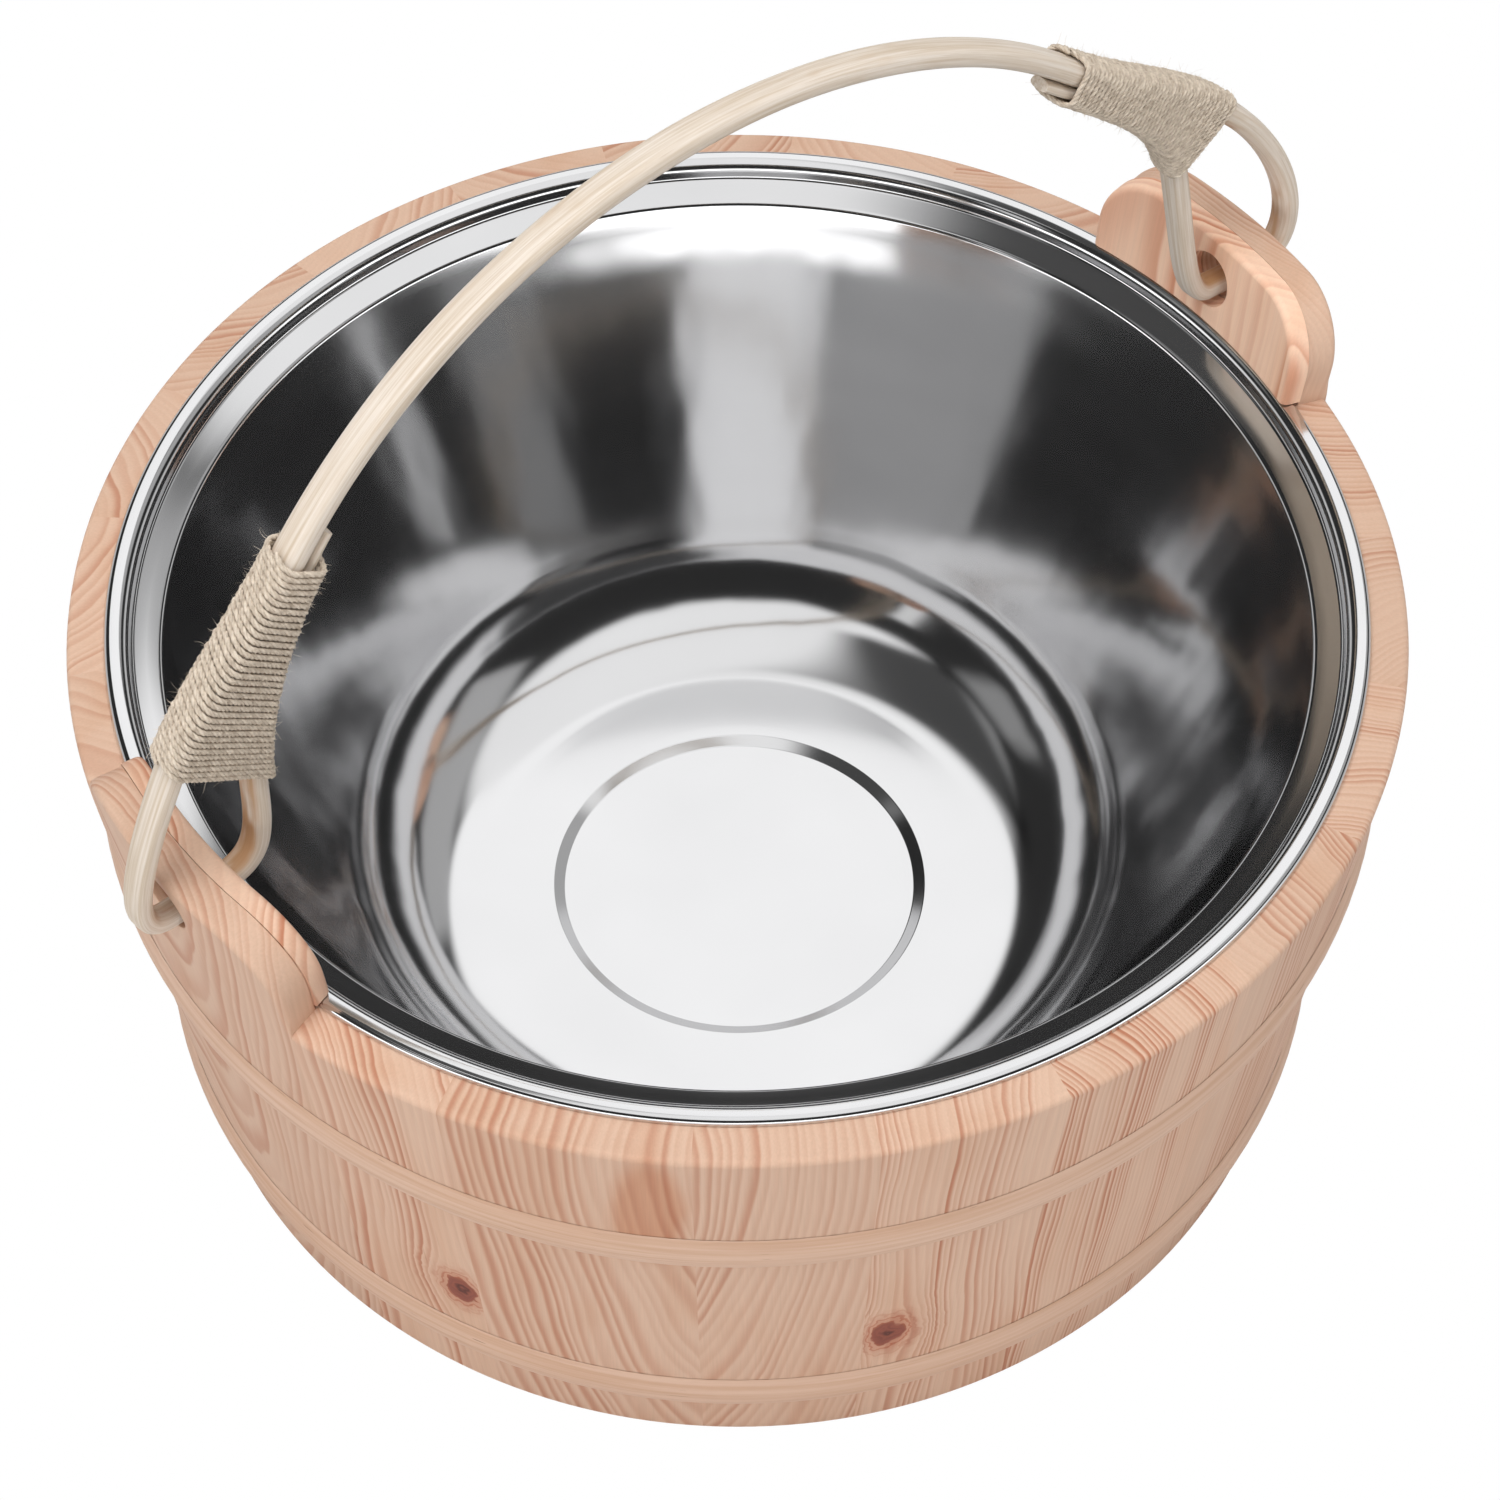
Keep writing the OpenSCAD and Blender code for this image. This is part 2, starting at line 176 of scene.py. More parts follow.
class Wire:
    """A socket of a shader tree, with arithmetic."""

    def __init__(self, tree, socket=None):
        self.tree, self.socket = tree, socket

    def node(self, kind, inputs=None, out=0, **settings):
        """Any node, by its type; inputs maps a socket's name or number to a wire or value."""
        made = self.tree.nodes.new("ShaderNode" + kind)
        for key, value in settings.items():
            setattr(made, key, value)
        for key, value in (inputs or {}).items():
            if isinstance(value, Wire):
                self.tree.links.new(value.socket, made.inputs[key])
            else:
                made.inputs[key].default_value = value
        return Wire(self.tree, made.outputs[out])

    def math(self, operation, *others):
        """A Math node on this wire and the others."""
        return self.node("Math", dict(enumerate((self,) + others)), operation=operation)

    def __add__(self, other):
        return self.math("ADD", other)

    def __sub__(self, other):
        return self.math("SUBTRACT", other)

    def __mul__(self, other):
        return self.math("MULTIPLY", other)

    def __truediv__(self, other):
        return self.math("DIVIDE", other)

    def __rsub__(self, other):
        return self * -1 + other

    __radd__, __rmul__ = __add__, __mul__

    def rise(self, low, high):
        """0 below low, 1 above high and smooth between them."""
        return self.node("MapRange", {0: self, 1: low, 2: high}, interpolation_type="SMOOTHSTEP")

    def xyz(self):
        """The three numbers of this vector."""
        parts = self.node("SeparateXYZ", {0: self}).socket.node.outputs
        return [Wire(self.tree, part) for part in parts]

    def point(self, x, y, z):
        """A vector of three numbers, in this wire's tree."""
        return self.node("CombineXYZ", {0: x, 1: y, 2: z})

    def noise(self, detail, rough=0.5):
        """Noise at this point, from 0 to 1, with cells one unit wide."""
        return self.node("TexNoise", {"Vector": self, "Scale": 1.0, "Detail": detail,
                                      "Roughness": rough})

    def blend(self, first, second):
        """From the first colour to the second as this wire goes from 0 to 1."""
        return self.node("Mix", {0: self, 6: first, 7: second}, out=2, data_type="RGBA")

    def tinted(self, colour):
        """This colour multiplied by another one, or by a wire's value."""
        return self.node("Mix", {0: 1.0, 6: self, 7: colour}, out=2, data_type="RGBA",
                         blend_type="MULTIPLY")


# %% Colours and materials
SRGB_KNEE, SRGB_SLOPE = 10, 3295


def linear(red, green, blue):
    """A colour that a screen shows as these values from 0 to 255."""
    return tuple(((c / 255 + 0.055) / 1.055) ** 2.4 if c > SRGB_KNEE else c / SRGB_SLOPE
                 for c in (red, green, blue)) + (1.0,)


def material(name, **constants):
    """A new material and its Principled node, with constants set on the node's sockets."""
    made = bpy.data.materials.new(name)
    made.use_nodes = True
    shader = made.node_tree.nodes["Principled BSDF"]
    for key, value in constants.items():
        shader.inputs[key.replace("_", " ")].default_value = value
    return made, shader


def object_point(made):
    """The place on the object, which sits at the origin of the part's own frame."""
    return Wire(made.node_tree).node("TexCoord", out="Object")


def feed(wire, shader, socket):
    """Link the wire to a socket of the shader."""
    wire.tree.links.new(wire.socket, shader.inputs[socket])


def bumpy(wire, shader, height):
    """The wire as relief of that height in millimetres."""
    feed(wire.node("Bump", {"Height": wire, "Distance": height * MM, "Strength": 1.0}),
         shader, "Normal")


print("a screen's middle grey is", round(linear(128, 128, 128)[0], 3), "to the renderer")

# %% [markdown]
# ## Pine
# Sawn pine shows the growth rings of its log as lines, arches or ovals, by where the board
# was cut. A wave texture would draw bands that are all alike. Here each board is cut from a
# log of its own: the rings are cylinders round a pith that lies beside or behind the board,
# so the figure follows from the board's place in the log, as it does in wood. Noise bends
# the rings and changes their spacing, and each ring has a strength of its own. Latewood
# darkens slowly towards a ring's outer edge and stops there.

# %% Growth rings
EARLY, LATE = linear(218, 184, 160), linear(186, 124, 95)


def board_point(made, turn):
    """Where a point of a board that faces the angle turn is, in millimetres: outwards,
    sideways, upwards, and how deep in the wood."""
    place = object_point(made)
    place = place.node("Mapping", {"Vector": place, "Rotation": (0, 0, -math.radians(turn)),
                                   "Scale": (1000,) * 3}, vector_type="POINT")
    x, y, z = place.xyz()
    return x, y, z, z * math.tan(TAPER) + BASE_R - x


def rings(rho, z, pitch, seed, soft, contrast):
    """How far a point is into its ring's latewood, and how dark that ring gets; rho is the
    distance from the pith and pitch the mean width of a ring."""
    spread = rho.point(rho / 13, seed, z / 300).noise(1.0)  # years of fast and slow growth
    count = rho / pitch + spread * 5.5
    ring = count.math("FLOOR")
    phase = count - ring
    strong = ring.node("TexWhiteNoise", {"W": ring + seed}, noise_dimensions="1D")
    group = rho.point(rho / 7 + 3, seed * 1.7, z / 260).noise(1.0)
    late = phase.rise(0.05, 0.8 - 0.2 * soft) * (1 - phase.rise(0.84 - 0.22 * soft, 1.0))
    uneven = 0.85 - 0.5 * soft
    groups = group.rise(0.38, 0.6) * uneven + 0.14 + 0.36 * soft
    return late, groups * (strong * uneven + 0.3 + 0.3 * soft) * contrast


print("early wood", np.round(EARLY[:3], 3), "late wood", np.round(LATE[:3], 3))

# %% [markdown]
# ## Knots
# A knot is the foot of a branch: dark at its heart, red-brown towards its rim, with rings of
# its own and often a little resin above and below it. It could be a round patch laid over
# the wood, but the rings of the stem also flow round it. So the same distance from the
# knot's heart pushes the board's rings aside and draws the knot.

# %% A knot
KNOT_RIM, KNOT_HEART = linear(154, 84, 66), linear(66, 26, 22)
KNOT_HALO, RESIN = linear(214, 150, 124), linear(168, 112, 84)
KNOT_OVAL = 2.3  # its root is how much taller than wide a knot is


def knot_distance(side, z, place, seed):
    """The distance from the knot's heart, and the noise that makes its rings wander."""
    aside, above = side - place[0], z - place[1]
    wander = side.point(side / 3.6, z / 4.2, seed).noise(2.0) - 0.5
    away = (aside * aside + above * above / KNOT_OVAL).math("SQRT") + wander * 3.4
    return aside, away, wander


def with_knot(colour, y, z, away, wander, radius, seed):
    """The colour of the wood with the knot in it."""
    size = away / radius
    inner = (away * 3.1 + wander * 7).math("SINE") * 0.3 + 0.5
    outer = 0.5 + (away * 4.2 + wander * 9).math("SINE").rise(0.1, 0.9) * 0.5
    colour = ((1 - size.rise(0.9, 2.3)) * outer).blend(colour, colour.tinted(KNOT_HALO))
    core = inner * (1 - size.rise(0.2, 0.9)) + size.rise(0.5, 1.0) * 0.2
    colour = (1 - size.rise(0.82, 1.04)).blend(colour, core.blend(KNOT_RIM, KNOT_HEART))
    trail = size.point(y / 1.1, z / 26, seed).noise(2.0).rise(0.66, 0.74)
    trail = trail * (1 - size.rise(1.6, 5.0)) * size.rise(0.9, 1.3)
    return (trail * 0.55).blend(colour, RESIN)


# %% The pine shader
WARM_PATCH, BROWN_STAIN = linear(244, 230, 218), linear(238, 212, 196)
GRAIN_HEIGHT = 0.014


def pine(name, turn, pitch, pith, climb=0.0, mirrored=False, knot=None, tone=1.0,
         contrast=1.0, seed=0.0, wave=1.0, soft=0.0, stain=None):
    """A board that faces the angle turn. pith is the place of the rings' middle, beside the
    board and behind its face; climb tilts the log, and mirrored repeats the grain on both
    sides of that angle. knot is (side, height, size) and stain (side, height, width, length).
    wave is how much the rings wander; soft evens them out and blurs their edges."""
    made, shader = material(name, Roughness=0.6, Specular_IOR_Level=0.3)
    x, y, z, depth = board_point(made, turn)
    side = y.math("ABSOLUTE") if mirrored else y
    # The first noise bends whole groups of rings, the second makes single rings waver.
    broad = x.point(depth / 40 + seed, side / 26, z / 75).noise(1.0) - 0.5
    small = x.point(depth / 12, side / 8 + seed, z / 34).noise(2.0) - 0.5
    if knot:
        aside, away, wander = knot_distance(side, z, knot[:2], seed)
        near = (away * away / (-(knot[2] * 1.9) ** 2)).math("EXPONENT")
        side = side - aside * near * 0.9
    across = side - pith[0]
    inward = (depth + pith[1]) - z * climb
    rho = (across * across + inward * inward).math("SQRT") + (broad * 7 + small * 1.7) * wave
    late, vigour = rings(rho, z, pitch, seed, soft, contrast)
    fibre = x.point(depth * 1.4, y * 2.4, z / 16).noise(3.0, 0.62)
    patch = x.point(depth / 16 + seed, y / 16, z / 70).noise(2.0)
    colour = (late * vigour).math("MINIMUM", 1.0).blend(EARLY, LATE)
    colour = (patch.rise(0.45, 0.75) * 0.5).blend(colour, colour.tinted(WARM_PATCH))
    colour = colour.tinted((0.9 + 0.2 * fibre) * tone)
    if stain:
        off = (y - stain[0] + small * 6) / stain[2]
        up = (z - stain[1]) / stain[3]
        inside = 1 - (off * off + up * up).rise(0.35, 1.3)
        colour = inside.blend(colour, colour.tinted(BROWN_STAIN))
    if knot:
        colour = with_knot(colour, y, z, away, wander, knot[2], seed)
    feed(colour, shader, "Base Color")
    bumpy(fibre * 0.7 + late * vigour * 0.3, shader, GRAIN_HEIGHT)
    return made


# %% [markdown]
# ## Boards
# No two staves of the wall look alike. The second and the third are one log, sawn and
# opened like a book, so their grain meets in a V at the joint. The first and the fourth
# have a knot each, and the second a brown stain. One material for all would show its
# repeats at once, so every board has its own, from one table of a few numbers per board.

# %% Give every board its own pine


def paint(node, look):
    """The material of one of the part's own solids."""
    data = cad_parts[node].data
    data.materials.clear()
    data.materials.append(look)


STAVES = {
    1: dict(pitch=1.6, pith=(-44, 36), contrast=0.85, tone=1.02, knot=(11.3, 42.6, 3.7)),
    2: dict(pitch=2.6, pith=(-25, 41), climb=0.31, mirrored=True, contrast=0.85, wave=0.9,
            soft=0.6, stain=(-8.5, 104, 8.5, 24)),
    3: dict(pitch=2.0, pith=(-25, 41), climb=0.31, mirrored=True, contrast=0.85, wave=0.7,
            soft=0.5),
    4: dict(pitch=1.6, pith=(60, 12), contrast=1.0, tone=1.03, knot=(-12.6, 40.6, 3.8)),
    5: dict(pitch=1.1, pith=(-80, 12), contrast=1.2, tone=1.03),
    6: dict(pitch=1.5, pith=(70, 10), contrast=0.85, tone=0.99),
    7: dict(pitch=1.3, pith=(-60, 12), contrast=0.75, tone=1.02),
    8: dict(pitch=1.7, pith=(-46, 22), contrast=0.85, tone=0.98),
    9: dict(pitch=1.4, pith=(70, 10), contrast=0.8, tone=1.01),
}
for i, grain in STAVES.items():
    middle = (FRONT_JOINTS[i - 1] + FRONT_JOINTS[i]) / 2
    if "mirrored" in grain:
        middle = FRONT_JOINTS[2]
    paint(f"front_stave_{i}", pine(f"front stave {i}", middle, seed=3.1 * i, **grain))
    middle = (BACK_JOINTS[i - 1] + BACK_JOINTS[i]) / 2
    pith = (36 if i % 2 else -36, 30 + 3 * (i % 3))
    paint(f"back_stave_{i}",
          pine(f"back stave {i}", middle, pitch=2.0 + 0.15 * (i % 5), pith=pith,
               contrast=0.6 + 0.06 * (i % 4), tone=0.98 + 0.02 * (i % 3), seed=20 + 2.3 * i))
paint("bottom_board", pine("bottom board", 0, pitch=2.2, pith=(90, -120), seed=61))
print("boards painted:", 2 * len(STAVES) + 1)

# %% [markdown]
# ## Hoops
# The hoops are thin strips of wood, bent round the wall. Their fibres run along the strip,
# with fine darker threads and a few short marks. The shader of the boards would give them
# upright grain. Noise that is long round the wall and short in height draws the fibres
# without any unwrapping. A share of the distance from the axis is added to the height, so
# that the fibres also show on a hoop's upper edge.

# %% The hoop shader
EDGE_SHARE = 0.3
hoop_wood, shader = material("hoop wood", Roughness=0.5, Specular_IOR_Level=0.35)
x, y, z = (v * 1000 for v in object_point(hoop_wood).xyz())
height = z + (x * x + y * y).math("SQRT") * EDGE_SHARE
streak = x.point(x / 70, y / 70, height / 1.3).noise(3.0, 0.6)
thread = x.point(x / 30 + 9, y / 30, height / 0.5).noise(2.0, 0.6)
tick = x.point(x / 9, y / 9 + 5, height / 0.45).noise(1.0)
colour = streak.rise(0.3, 0.75).blend(linear(221, 187, 164), linear(206, 166, 138))
colour = (thread.rise(0.45, 0.8) * 0.25).blend(colour, linear(190, 142, 112))
colour = (tick.rise(0.74, 0.8) * 0.55).blend(colour, linear(140, 96, 72))
feed(colour, shader, "Base Color")
bumpy(streak * 0.5 + thread * 0.5, shader, 0.03)
for name in ("upper_hoop", "lower_hoop"):
    paint(name, hoop_wood)
    print("painted", name)

# %% [markdown]
# ## Ears
# An ear is a long stave with round shoulders and a hole for the bail, and a thinner cheek is
# glued inside it. Cutting a solid ring with other solids would leave hard edges that are
# tricky to soften. Here each plate is drawn flat as an outline with a hole, gets soft edges
# in its own section, and is then cut into narrow columns and wrapped onto the cone.

# %% The flat outline, its soft edge and the hole
WRAP_R = on_wall(SLANT_H + EAR_H / 2, 0)[0]
HOLE_SIDES, HOLE_LIP = 48, 0.5


def outline(wide, foot):
    """Points and outward directions round a flat ear, from one foot over the top to the other."""
    top = SLANT_H + EAR_H
    path = [((wide, s), (1, 0)) for s in np.linspace(foot, top - EAR_CORNER, 40)]
    for k in range(1, 25):
        a = math.pi / 2 * k / 24
        corner = (wide - EAR_CORNER * (1 - math.cos(a)), top - EAR_CORNER * (1 - math.sin(a)))
        path.append((corner, (math.cos(a), math.sin(a))))
    path += [((x, top), (0, 1)) for x in np.linspace(wide - EAR_CORNER, 0, 8)[1:]]
    return path + [((-p[0], p[1]), (-n[0], n[1])) for p, n in path[-2::-1]]


def edge_section(d0, d1, r0, r1):
    """Steps (inset, depth) over a plate's edge, from its outer face to its inner one."""
    turns = np.linspace(0, math.pi / 2, 6)
    return ([(r0 * (1 - math.sin(t)), d0 + r0 * (1 - math.cos(t))) for t in turns]
            + [(r1 * (1 - math.cos(t)), d1 - r1 * (1 - math.sin(t))) for t in turns])


def drill(bm, d0, d1):
    """The wall of the hole, with softened lips; returns its outer and inner ring."""
    found = []
    for grow, depth in ((HOLE_LIP, d0), (0.15 * HOLE_LIP, d0 + 0.4 * HOLE_LIP),
                        (0, d0 + HOLE_LIP), (0, d1 - HOLE_LIP),
                        (0.15 * HOLE_LIP, d1 - 0.4 * HOLE_LIP), (HOLE_LIP, d1)):
        centre, r = (HINGE_Z - depth * math.sin(TAPER)) / math.cos(TAPER), HOLE_R + grow
        found.append([bm.verts.new((r * math.cos(a), centre + r * math.sin(a), depth))
                      for a in np.linspace(0, 2 * math.pi, HOLE_SIDES, endpoint=False)])
    for low, high in zip(found, found[1:]):
        for j in range(HOLE_SIDES):
            k = (j + 1) % HOLE_SIDES
            bm.faces.new((low[j], high[j], high[k], low[k]))
    return found[0], found[-1]


print("outline of an ear:", len(outline(math.radians(EAR_HALF) * WRAP_R, 0.0)), "points")

# %% The bent plate
COLUMN, FADE = 1.5, 4


def plate(name, turn, half, foot, deep, rounds, look, square_below=None):
    """A plate between two depths, from the foot up to the ear's top, that faces the angle turn.
    rounds are the radii of its outer and inner edges, which fade out below square_below."""
    wide = math.radians(half) * WRAP_R
    path, flat = outline(wide, foot), []
    for p, n in path:
        fade = 1 if square_below is None else np.clip((p[1] - square_below) / FADE, 0.02, 1)
        for inset, depth in edge_section(*deep, rounds[0] * fade, rounds[1] * fade):
            flat.append((p[0] - n[0] * inset, p[1] - n[1] * inset, depth))
    across = len(flat) // len(path)
    bm = bmesh.new()
    verts = [bm.verts.new(p) for p in flat]
    for f in skin(len(path), across, close_columns=False):
        bm.faces.new([verts[k] for k in f])
    bm.faces.new(verts[:across] + verts[-across:][::-1])
    for loop, ring in zip((verts[::across], verts[across - 1::across]), drill(bm, *deep)):
        edges = []
        for chain in (loop, ring):
            for a, b in zip(chain, chain[1:] + chain[:1]):
                edges.append(bm.edges.get((a, b)) or bm.edges.new((a, b)))
        bmesh.ops.triangle_fill(bm, use_beauty=True, edges=edges)
    for cut in np.arange(-wide + COLUMN, wide, COLUMN):
        bmesh.ops.bisect_plane(bm, geom=bm.verts[:] + bm.edges[:] + bm.faces[:],
                               plane_co=(cut, 0, 0), plane_no=(1, 0, 0))
    bmesh.ops.recalc_face_normals(bm, faces=bm.faces)
    for v in bm.verts:
        r, z = on_wall(v.co.y, v.co.z)
        a = math.radians(turn) + v.co.x / WRAP_R
        v.co = Vector((r * math.cos(a), r * math.sin(a), z)) * MM
    bmesh.ops.recalc_face_normals(bm, faces=bm.faces)
    data = bpy.data.meshes.new(name)
    bm.to_mesh(data)
    bm.free()
    obj = dress(name, data, "bucket", look, sharp=40)
    obj.modifiers.new("even shading", "WEIGHTED_NORMAL").keep_sharp = True
    return obj


# %% Both ears and their cheeks
FRONT_T = STAVE_T - CHEEK_T - GLUE
EAR_EDGE, GLUED_EDGE, ARC = 1.6, 0.06, 25
# The second number of each ear is painted light: it makes the cheek, the ear's inner face, paler
# than the ear itself, to stand for the light that falls on it.
EARS = {"left": (180, 1.14, dict(pitch=1.35, pith=(-14, 84), climb=0.1, contrast=0.95,
                                 tone=0.97, wave=0.7, seed=41.0)),
        "right": (0, 1.36, dict(pitch=1.4, pith=(16, 80), climb=-0.1, contrast=1.0,
                                tone=1.03, wave=0.7, seed=47.0))}
for side, (turn, cheek_painted_light, grain) in EARS.items():
    look = pine(f"{side} ear", turn, **grain)
    ear = plate(f"{side}_ear_plate", turn, EAR_HALF, 0.0, (0, FRONT_T), (EAR_EDGE, GLUED_EDGE),
                look, square_below=SLANT_H)
    back = [on_wall(s, d) for s, d in ((0.5, FRONT_T), (SLANT_H, FRONT_T), (SLANT_H, STAVE_T),
                                       (1.5, STAVE_T))]
    angles = np.radians(turn + np.linspace(-EAR_HALF, EAR_HALF, ARC))
    points = [(r * math.cos(a), r * math.sin(a), z) for a in angles for r, z in back]
    last = (ARC - 1) * len(back)
    ends = [(0, 1, 2, 3), (last + 3, last + 2, last + 1, last)]
    piece(f"{side}_ear_back", points, skin(ARC, len(back)) + ends, "bucket", look)
    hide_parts(f"{side}_ear")
    # Painted light: the cheek's pine is made paler than the ear's by the ear's second number.
    grain = dict(grain, tone=grain["tone"] * cheek_painted_light, contrast=0.95, pitch=2.0,
                 pith=(2.2 * grain["pith"][0], 50), climb=0.0, seed=grain["seed"] + 33)
    past = math.degrees(CHEEK_PAST / WRAP_R)
    foot = (CREST_Z + 0.5) / math.cos(TAPER) - STAVE_T * math.tan(TAPER)
    cheek = plate(f"{side}_cheek_plate", turn, EAR_HALF + past, foot,
                  (STAVE_T - CHEEK_T, STAVE_T), (GLUED_EDGE, EAR_EDGE),
                  pine(f"{side} cheek", turn, **grain))
    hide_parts(f"{side}_ear_cheek")
    print(side, "ear:", len(ear.data.polygons), "faces, cheek:", len(cheek.data.polygons))

# %% [markdown]
# ## Liner
# The liner is one pressed sheet of steel: a rolled lip over the wall's top, a shoulder, a
# sloping bowl, a large curve to the floor and a sunk disc. The part's own solid has the same
# profile in coarser steps, and a mirror shows every step as a break in the reflections. So
# the profile is drawn once more with fine corners and turned in 360 steps.

# %% The liner's profile
SHEET, LIP_W, FIT = 0.8, 4.7, 0.1
BOWL_SLOPE, FLOOR_Z, FLOOR_CURVE = math.radians(24), 28.3, 33
DISC_R, DISC_DROP, DISC_EDGE, HUB_R = 39.4, 1.0, 2.5, 0.4


def inner_r(z):
    """Radius of the wall's inner face at the height z."""
    return BASE_R + z * math.tan(TAPER) - STAVE_T / math.cos(TAPER)


def top_z(r):
    """Height of the wall's sloping top at the radius r."""
    return WALL_H + (RIM_R - r) * math.tan(TAPER)


lip_in = inner_r(top_z(inner_r(WALL_H))) - FIT - SHEET
lip_out = lip_in + LIP_W
seat = top_z(lip_out - SHEET) + FIT
roll = (CREST_Z - seat) * 0.95
step = (lip_in - 0.9, CREST_Z - 3.9)
edge = (step[0] - 5.9, step[1] - 2.0)
foot_r = edge[0] - (edge[1] - FLOOR_Z) * math.tan(BOWL_SLOPE)
corners = [(lip_out, seat, 0), (lip_out, CREST_Z, roll), (lip_in, CREST_Z, (LIP_W - roll) * 0.9),
           (*step, 1.2), (*edge, 1.8), (foot_r, FLOOR_Z, FLOOR_CURVE),
           (DISC_R + DISC_EDGE, FLOOR_Z, 1.2), (DISC_R, FLOOR_Z - DISC_DROP, 1.2),
           (HUB_R, FLOOR_Z - DISC_DROP, 0)]
coarse = rounded(corners, 3.0)
face = [coarse[0]]
for a, b in zip(coarse, coarse[1:]):
    n = max(1, math.ceil(np.linalg.norm(b - a) / 3.0))
    face += [a + (b - a) * k / n for k in range(1, n + 1)]
face = np.array(face)
print("liner profile:", len(face), "points, bowl foot at radius", round(foot_r, 1))

# %% [markdown]
# Polished steel has hardly a colour of its own: it shows the room, a little blurred. Long
# upright ripples are left by the press and make the reflections waver. Dents in the mesh
# would need a far finer one, so a bump does it, which fades out towards the flat floor and
# the lip.

# %% The steel shader
steel, shader = material("polished steel", Metallic=1.0)
x, y, z = (v * 1000 for v in object_point(steel).xyz())
smear = x.point(x / 40, y / 40, z / 14).noise(2.0)
feed(smear * 0.05 + 0.085, shader, "Roughness")
flutes = x.point(x / 15, y / 15, z / 160).noise(1.0)
bumpy(flutes * z.rise(29.0, 36.0) * (1 - z.rise(108.0, 118.0)), shader, 0.2)
feed(smear.blend(linear(214, 214, 215), linear(226, 226, 227)), shader, "Base Color")
print("steel nodes:", len(steel.node_tree.nodes))

# %% Turn the profile round the axis
ROUND = 360
section = np.vstack([face, beside(face, SHEET)[::-1]])
angles = np.radians(np.arange(ROUND) * 360 / ROUND)
points = [(r * math.cos(a), r * math.sin(a), z) for r, z in section for a in angles]
faces = skin(len(face), ROUND) + skin(len(face), ROUND, first=len(face) * ROUND)
rim = (len(section) - 1) * ROUND
faces += [(rim + j, rim + (j + 1) % ROUND, (j + 1) % ROUND, j) for j in range(ROUND)]
middle = [len(face) * ROUND - ROUND + j for j in range(ROUND)]
faces = [f[::-1] for f in faces] + [middle, [ROUND + j for j in middle[::-1]]]
liner = piece("steel_liner", points, faces, "bucket", steel, sharp=60)
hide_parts("liner")
print("liner:", len(faces), "faces")

# %% [markdown]
# ## Bail
# One strip of split rattan runs over the arch, out through each ear and back beside itself.
# A Bezier curve object could carry it, but its width, thickness and sideways sway change on
# the way, and the windings need the same route. So the route is a table of marks joined by
# curves. It lies in a plane, as points (x, height above the holes), and a mark is: point,
# heading, reach before and after, width, thickness, and sway to the front.

# %% The marks along the strip
ARCH_RISE, ARCH_R, CANE_W, CANE_T, GAP = 115.0, 133.0, 7.2, 5.6, 0.4
HOLE_W, HOLE_T, TIP_T, TWINE_D, BIND_FIT, SWAY = 6.0, 4.8, 2.4, 1.3, 0.3, 6.5
LEAN = math.radians(5)
EAR_IN = inner_r(HINGE_Z)
EAR_OUT = BASE_R + HINGE_Z * math.tan(TAPER)


def arch_point(x):
    """The middle of the strip on the arch."""
    return np.array([x, ARCH_RISE - ARCH_R + math.sqrt(ARCH_R ** 2 - x * x)])


def arch_heading(x):
    """The strip's direction there, in degrees."""
    return -math.degrees(math.asin(x / ARCH_R))


def tip_mark(x, reach):
    """The strip's tip, which lies against the arch at x."""
    centre = np.array([0, ARCH_RISE - ARCH_R])
    p = arch_point(x) - ((CANE_T + TIP_T) / 2 + GAP) * unit(arch_point(x) - centre)
    return [*p, arch_heading(x) - 180, reach, 0, 5, TIP_T, 0]


def hole_marks(turn, before, after, sway):
    """The two marks where the strip enters an ear and leaves it."""
    drop = (2 * HOLE_R - HOLE_T) / 2 - 1.5
    return [[EAR_OUT + 0.5, -drop, -180, before, 4, HOLE_W, HOLE_T, sway],
            [EAR_IN - 0.3, -0.6 * drop, -180 - turn, 4, after, HOLE_W, HOLE_T, sway]]


MARKS = {
    "right": [[*arch_point(88.5), arch_heading(88.5), 0, 23, 6.6, 5.4, 0],
              [EAR_OUT - 11.5, 48.6, -43, 21, 30.2, 6.3, 5.3, 0]]
    + hole_marks(4, 18, 7, 0)
    + [[EAR_IN - 10.7, 40, -262, 27.5, 14, 6.2, 5, 0], tip_mark(85.5, 18)],
    "left": [[*arch_point(101), arch_heading(101), 0, 15, 7.4, 5.6, 0],
             [EAR_OUT - 5.4, 41.5, -59, 13, 21.5, 6.5, 5.2, SWAY]]
    + hole_marks(2, 11, 11, 0.2 * SWAY)
    + [[EAR_IN - 11.6, 22.5, -266, 14.5, 18, 6.2, 5, 0.2 * SWAY], tip_mark(96.3, 18)],
}
print("marks:", {side: len(marks) for side, marks in MARKS.items()})

# %% The route as closely spaced stations
LOOP_STEPS, ARCH_STEPS = (30, 40, 6, 36, 30), 140


def station(marks, i, t):
    """Point, direction, width, thickness and sway at t on the curve from mark i."""
    a, b = marks[i], marks[i + 1]
    heads = [np.array([math.cos(math.radians(m[2])), math.sin(math.radians(m[2]))])
             for m in (a, b)]
    p0, p3 = np.array(a[:2]), np.array(b[:2])
    p1, p2 = p0 + a[4] * heads[0], p3 - b[3] * heads[1]
    s = 1 - t
    point = s ** 3 * p0 + 3 * s * s * t * p1 + 3 * s * t * t * p2 + t ** 3 * p3
    ahead = unit(s * s * (p1 - p0) + 2 * s * t * (p2 - p1) + t * t * (p3 - p2))
    ease = t * t * (3 - 2 * t)
    return (point, ahead, a[5] + (b[5] - a[5]) * t, a[6] + (b[6] - a[6]) * t,
            a[7] + (b[7] - a[7]) * ease)


